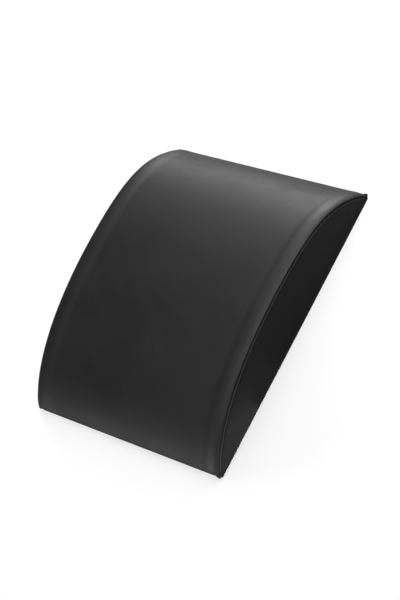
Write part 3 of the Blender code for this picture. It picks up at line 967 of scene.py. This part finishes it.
def make_band():
    """One over the two doubled bands, falling softly to nothing on the single vinyl between."""
    tree, given, result = new_group("doubled_band", {"Place": None}, ["Band"])
    parts = put(tree, "ShaderNodeSeparateXYZ", None, Vector=given.outputs["Place"])
    out = put(tree, "ShaderNodeMath", {"operation": "ABSOLUTE"}, _0=parts.outputs["X"])
    soft = {"interpolation_type": "SMOOTHSTEP"}
    rise = window(tree, out.outputs[0], *BAND_STARTS, soft)
    fall = window(tree, out.outputs[0], *BAND_STOPS, soft, _3=1.0, _4=0.0)
    both = put(tree, "ShaderNodeMath", {"operation": "MULTIPLY"}, _0=rise, _1=fall)
    tree.links.new(both.outputs[0], result.inputs["Band"])
    return tree


def make_weave():
    """A fine twill: two sets of slanting ribs that cross."""
    tree, given, result = new_group("twill", {"Place": None, "Scale": 300.0}, ["Height"])
    ribs = []
    for turn in (35, -55):
        turned = put(tree, "ShaderNodeMapping", None, Vector=given.outputs["Place"])
        turned.inputs["Rotation"].default_value = (0, 0, math.radians(turn))
        wave = put(tree, "ShaderNodeTexWave", {"bands_direction": "X"},
                   Vector=turned.outputs[0], Scale=given.outputs["Scale"], Distortion=0.6,
                   Detail=1.0)
        ribs.append(wave.outputs["Fac"])
    both = put(tree, "ShaderNodeMath", {"operation": "MULTIPLY"}, _0=ribs[0], _1=ribs[1])
    tree.links.new(both.outputs[0], result.inputs["Height"])
    return tree


grain_group, haze_group, scuffs_group = make_grain(), make_haze(), make_scuffs()
band_group, weave_group = make_band(), make_weave()
print("groups", [tree.name for tree in bpy.data.node_groups])

# %% [markdown]
# The vinyl is a satin black. Its grain is so fine that it only softens the gloss at arm's length.
# The doubled bands stand proud, so they have been rubbed a little smoother than the rest, and a few
# faint scuffs run along the mat.

# %% Vinyl


def new_material(name, **values):
    made = bpy.data.materials.new(name)
    made.use_nodes = True
    shader = made.node_tree.nodes["Principled BSDF"]
    for socket, value in values.items():
        shader.inputs[socket.replace("_", " ")].default_value = value
    return made, made.node_tree, shader


def range_of(tree, value, low, high):
    spread = put(tree, "ShaderNodeMapRange", None, Value=value)
    spread.inputs["To Min"].default_value = low
    spread.inputs["To Max"].default_value = high
    return spread.outputs[0]


def blend_colour(tree, factor, first, second):
    mixed = put(tree, "ShaderNodeMix", {"data_type": "RGBA"}, _0=factor)
    mixed.inputs[6].default_value = (*first, 1)
    mixed.inputs[7].default_value = (*second, 1)
    return mixed.outputs[2]


def make_vinyl(name, dark, pale, gloss):
    made, tree, shader = new_material(name, Specular_IOR_Level=0.5, Coat_Roughness=0.42)
    place = put(tree, "ShaderNodeTexCoord").outputs["Object"]
    grain = put(tree, "ShaderNodeGroup", {"node_tree": grain_group}, Place=place, Scale=1100.0)
    haze = put(tree, "ShaderNodeGroup", {"node_tree": haze_group}, Place=place, Scale=13.0)
    fine = put(tree, "ShaderNodeGroup", {"node_tree": haze_group}, Place=place, Scale=90.0)
    scuffs = put(tree, "ShaderNodeGroup", {"node_tree": scuffs_group}, Place=place, Cover=0.12)
    band = put(tree, "ShaderNodeGroup", {"node_tree": band_group}, Place=place)
    colour = put(tree, "ShaderNodeMix", {"data_type": "RGBA"}, _0=scuffs.outputs["Scuffs"],
                 _6=blend_colour(tree, haze.outputs["Haze"], dark, pale))
    colour.inputs[7].default_value = (0.02, 0.02, 0.0205, 1)
    tree.links.new(colour.outputs[2], shader.inputs["Base Color"])
    both = put(tree, "ShaderNodeMix", None, Factor=0.4, _2=haze.outputs["Haze"],
               _3=fine.outputs["Haze"])
    tree.links.new(range_of(tree, both.outputs[0], gloss[0], gloss[1]),
                   shader.inputs["Roughness"])
    tree.links.new(range_of(tree, band.outputs["Band"], 0.0, 0.13), shader.inputs["Coat Weight"])
    relief = put(tree, "ShaderNodeBump", None, Strength=0.35, Distance=0.12 * MM,
                 Height=grain.outputs["Height"])
    tree.links.new(relief.outputs["Normal"], shader.inputs["Normal"])
    return made


vinyl = make_vinyl("black_vinyl", (0.010, 0.010, 0.0105), (0.013, 0.013, 0.0135), (0.47, 0.60))
for piece, _ in covers:
    piece.data.materials.clear()
    piece.data.materials.append(vinyl)
print("vinyl nodes", len(vinyl.node_tree.nodes))

# %% [markdown]
# The rest is seen up close, from below or, as the foam, not at all. Foam, nylon, metal and thread
# need only a grain and a cloudy gloss, so one recipe makes all four. The tapes are woven, so theirs
# is a twill with sheen.

# %% Other finishes


def make_plain(name, colours, rough, grain_scale, depth, metal=0.0):
    made, tree, shader = new_material(name)
    shader.inputs["Metallic"].default_value = metal
    place = put(tree, "ShaderNodeTexCoord").outputs["Object"]
    grain = put(tree, "ShaderNodeGroup", {"node_tree": grain_group}, Place=place,
                Scale=grain_scale)
    haze = put(tree, "ShaderNodeGroup", {"node_tree": haze_group}, Place=place, Scale=60.0)
    tree.links.new(blend_colour(tree, grain.outputs["Height"], *colours),
                   shader.inputs["Base Color"])
    tree.links.new(range_of(tree, haze.outputs["Haze"], *rough), shader.inputs["Roughness"])
    relief = put(tree, "ShaderNodeBump", None, Strength=0.6, Distance=depth,
                 Height=grain.outputs["Height"])
    tree.links.new(relief.outputs["Normal"], shader.inputs["Normal"])
    return made


def make_woven(name, colours, scale):
    made, tree, shader = new_material(name, Sheen_Weight=0.25, Sheen_Roughness=0.5)
    place = put(tree, "ShaderNodeTexCoord").outputs["Object"]
    weave = put(tree, "ShaderNodeGroup", {"node_tree": weave_group}, Place=place, Scale=scale)
    haze = put(tree, "ShaderNodeGroup", {"node_tree": haze_group}, Place=place, Scale=80.0)
    tree.links.new(blend_colour(tree, weave.outputs["Height"], *colours),
                   shader.inputs["Base Color"])
    tree.links.new(range_of(tree, haze.outputs["Haze"], 0.72, 0.9), shader.inputs["Roughness"])
    relief = put(tree, "ShaderNodeBump", None, Strength=0.7, Distance=0.15 * MM,
                 Height=weave.outputs["Height"])
    tree.links.new(relief.outputs["Normal"], shader.inputs["Normal"])
    return made


finishes = {
    "foam": make_plain("grey_foam", ((0.05, 0.05, 0.055), (0.12, 0.12, 0.13)), (0.85, 1.0),
                       700.0, 0.4 * MM),
    "zip_tape": make_woven("black_tape", ((0.008, 0.008, 0.008), (0.022, 0.022, 0.023)), 420.0),
    "zip_coil": make_plain("black_nylon", ((0.012, 0.012, 0.012), (0.016, 0.016, 0.016)),
                           (0.3, 0.4), 900.0, 0.02 * MM),
    "zip_metal": make_plain("painted_metal", ((0.012, 0.012, 0.013), (0.02, 0.02, 0.021)),
                            (0.28, 0.4), 500.0, 0.02 * MM, 0.3),
    "thread": make_plain("black_thread", ((0.008, 0.008, 0.008), (0.02, 0.02, 0.02)),
                         (0.6, 0.8), 3000.0, 0.05 * MM),
}
for piece in [foam, *threads.values(), *zip_pieces.values(), *coils.values()]:
    piece.data.materials.clear()
    piece.data.materials.append(finishes[piece["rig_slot"]])
print("finishes", sorted(finishes))

# %% [markdown]
# ## Floor and light
#
# The floor is plain and pale, and runs off past the frame on every side. Seen by the camera it is
# white with a faint shadow. To the mat it gives back only some light, because the photograph's black
# sides are hardly lit from below. The mat covers an opening in it, and from below it is clear, so
# that the base can be looked at too. Only camera rays see the white: a satin black that mirrored it
# would turn grey.

# %% Floor
FLOOR_SIZE = 30.0
FLOOR_LEVEL = -0.05 * MM
OPENING_LESS = 11 * MM
TO_MAT, TO_CAMERA = (0.19, 0.19, 0.19, 1), (0.8, 0.8, 0.8, 1)
WHITE_GLOW, LIT_SHARE = 0.97, 0.4


def make_floor_material():
    made = bpy.data.materials.new("pale_floor")
    made.use_nodes = True
    tree = made.node_tree
    tree.nodes.clear()
    path = put(tree, "ShaderNodeLightPath")
    bare = put(tree, "ShaderNodeBsdfDiffuse", None, Color=TO_MAT)
    lit = put(tree, "ShaderNodeBsdfDiffuse", None, Color=TO_CAMERA)
    white = put(tree, "ShaderNodeEmission", None, Color=(1, 1, 1, 1), Strength=WHITE_GLOW)
    seen = put(tree, "ShaderNodeMixShader", None, _0=LIT_SHARE, _1=white.outputs[0],
               _2=lit.outputs[0])
    both = put(tree, "ShaderNodeMixShader", None, _0=path.outputs["Is Camera Ray"],
               _1=bare.outputs[0], _2=seen.outputs[0])
    clear = put(tree, "ShaderNodeBsdfTransparent")
    below = put(tree, "ShaderNodeNewGeometry")
    sides = put(tree, "ShaderNodeMixShader", None, _0=below.outputs["Backfacing"],
                _1=both.outputs[0], _2=clear.outputs[0])
    result = put(tree, "ShaderNodeOutputMaterial")
    tree.links.new(sides.outputs[0], result.inputs["Surface"])
    return made


clear_selection()
bpy.ops.mesh.primitive_plane_add(size=FLOOR_SIZE, location=(0, 0, FLOOR_LEVEL))
floor = bpy.context.object
floor.name = "floor"
bpy.ops.object.mode_set(mode="EDIT")
bpy.ops.mesh.select_all(action="SELECT")
# The inset leaves a square of one metre, which is scaled to the opening under the mat.
bpy.ops.mesh.inset(thickness=FLOOR_SIZE / 2 - 0.5)
bpy.ops.transform.resize(value=(WIDTH - OPENING_LESS, LENGTH - OPENING_LESS, 1))
bpy.ops.mesh.delete(type="FACE")
bpy.ops.object.mode_set(mode="OBJECT")
floor.data.materials.append(make_floor_material())
print("floor", FLOOR_SIZE, "m across")

# %% [markdown]
# In the photograph the black vinyl shows broad gleams without edges, so it was lit by large soft
# lamps. Here they are squares that stand round the mat, the strongest beyond its far end. An even
# sky would be simpler, but it would turn the black grey all over. Two cards just above the floor
# light the foot of the right side, as the pale floor does in the photograph.

# %% Lights
MAT_MIDDLE = Vector((0, 0, 0.03))


def soft_light(name, place, aim, size, power, length=None):
    """A light that stands at a place and faces its aim. It is square if it has no length."""
    clear_selection()
    bpy.ops.object.light_add(type="AREA", location=place)
    lamp = bpy.context.object
    lamp.name = name
    lamp.data.shape = "RECTANGLE"
    lamp.data.size, lamp.data.size_y = size, length or size
    lamp.data.energy = power
    lamp.visible_camera = False
    lamp.rotation_euler = (Vector(place) - Vector(aim)).to_track_quat("Z", "Y").to_euler()
    return lamp


def standing(azimuth, elevation, distance=1.8):
    """A place round the mat. Azimuth turns from +X to +Y, elevation is from the floor."""
    turn, rise = math.radians(azimuth), math.radians(elevation)
    towards = (math.cos(rise) * math.cos(turn), math.cos(rise) * math.sin(turn), math.sin(rise))
    return MAT_MIDDLE + distance * Vector(towards)


lamps = [
    soft_light("far_low_light", standing(120, 11), MAT_MIDDLE, 0.7, 11.4),
    soft_light("far_middle_light", standing(120, 30), MAT_MIDDLE, 0.9, 6.2),
    soft_light("far_high_light", standing(120, 50), MAT_MIDDLE, 0.9, 5.4),
    soft_light("near_low_light", standing(240, 11), MAT_MIDDLE, 0.7, 6.4),
    soft_light("top_far_light", standing(60, 70), MAT_MIDDLE, 0.9, 10.6),
    soft_light("top_near_light", standing(240, 70), MAT_MIDDLE, 0.9, 4.8),
    soft_light("right_light", standing(14, 45), MAT_MIDDLE, 0.9, 1.45),
    soft_light("corner_light", (0.30, -0.45, 0.10), (0.15, -0.15, 0.0), 0.2, 0.36),
    soft_light("floor_card", (0.20, -0.17, 0.003), (0.20, -0.17, 1), 0.12, 0.0192, 0.16),
    soft_light("far_floor_card", (0.20, -0.11, 0.003), (0.20, -0.11, 1), 0.12, 0.004, 0.14),
    soft_light("under_light", (0.0, 0.0, -0.9), (0, 0, 0), 0.26, 10),
]

# The floor would shade the rolled seams round the base from the light below it.
passed_through = bpy.data.collections.new("passed_by_under_light")
passed_through.objects.link(floor)
passed_through.collection_objects[0].light_linking.link_state = "EXCLUDE"
lamps[-1].light_linking.blocker_collection = passed_through

# Four lamps fall on the floor alone. The first two come low past the mat, and their shadows are the
# photograph's two faint patches at the near right corner. The others thin out the rest.
FLOOR_AIM = (0.1, -0.1, 0.0)
floor_lamps = [
    soft_light("left_floor_light", standing(200, 9), MAT_MIDDLE, 0.5, 38.8),
    soft_light("far_floor_light", standing(140, 18), MAT_MIDDLE, 0.5, 19.2),
    soft_light("right_floor_low_light", standing(45, 15, 0.7), FLOOR_AIM, 0.25, 2.5),
    soft_light("right_floor_high_light", standing(45, 40, 0.7), FLOOR_AIM, 0.25, 1.85),
]
floor_only = bpy.data.collections.new("floor_only")
floor_only.objects.link(floor)
for lamp in floor_lamps:
    lamp.light_linking.receiver_collection = floor_only
world = bpy.data.worlds.new("studio")
bpy.context.scene.world = world
world.use_nodes = True
tree = world.node_tree
tree.nodes.clear()
path = put(tree, "ShaderNodeLightPath")
strength = put(tree, "ShaderNodeMapRange", None, Value=path.outputs["Is Camera Ray"])
strength.inputs["To Min"].default_value = 0.02
strength.inputs["To Max"].default_value = 1.0
sky = put(tree, "ShaderNodeBackground", None, Color=(1, 1, 1, 1), Strength=strength.outputs[0])
out = put(tree, "ShaderNodeOutputWorld")
tree.links.new(sky.outputs[0], out.inputs["Surface"])
print("lamps", [(lamp.name, round(lamp.data.energy, 4)) for lamp in lamps])
